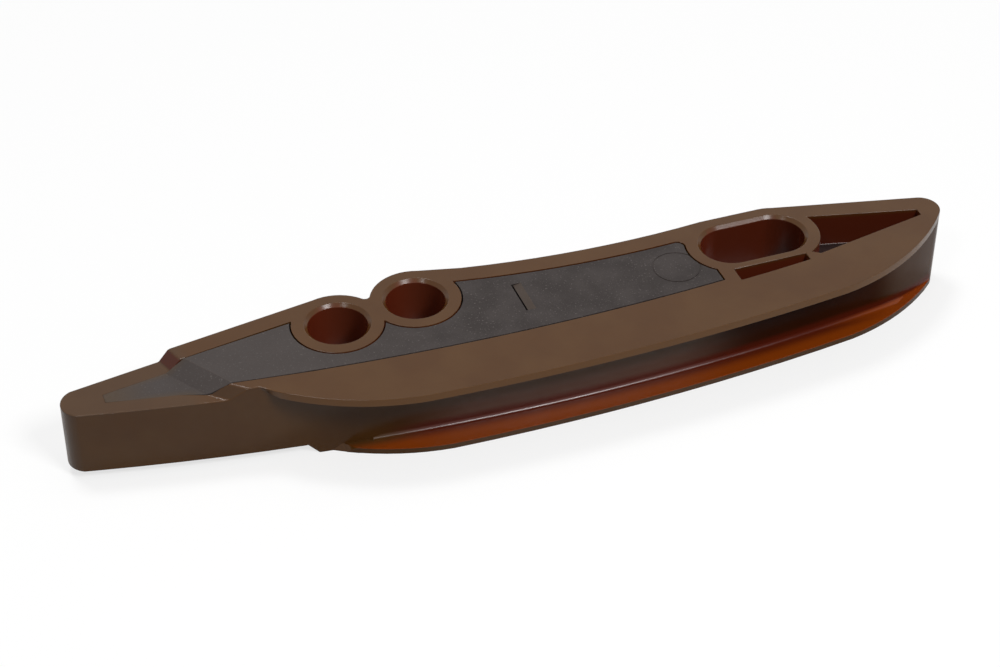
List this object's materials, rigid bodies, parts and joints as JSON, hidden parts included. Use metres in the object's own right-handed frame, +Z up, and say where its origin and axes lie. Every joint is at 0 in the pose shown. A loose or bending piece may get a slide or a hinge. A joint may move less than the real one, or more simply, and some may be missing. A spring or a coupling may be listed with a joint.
{
  "type": "timing chain guide",
  "caption": "Curved moulded guide rail for an engine timing chain, with a flanged sliding track, a stepped tail, pin bores, an adjusting slot and an inlaid grey core.",
  "frame": {"origin": "on the axis of the pin bore nearest the tail, level with the bottom face", "axes": "+X along the rail from the tail to the nose, +Y away from the chain, +Z up along the bore axes"},
  "size_m": [0.1558, 0.0329, 0.0155],
  "materials": {
    "brown_polyamide": "satin moulded, brown, glows orange-red where it is thin",
    "grey_filled_polyamide": "matt, dark grey, finely speckled"
  },
  "bodies": {
    "root": {"guide_rail_body": "brown_polyamide", "core_inlay": "grey_filled_polyamide"}
  },
  "joints": []
}
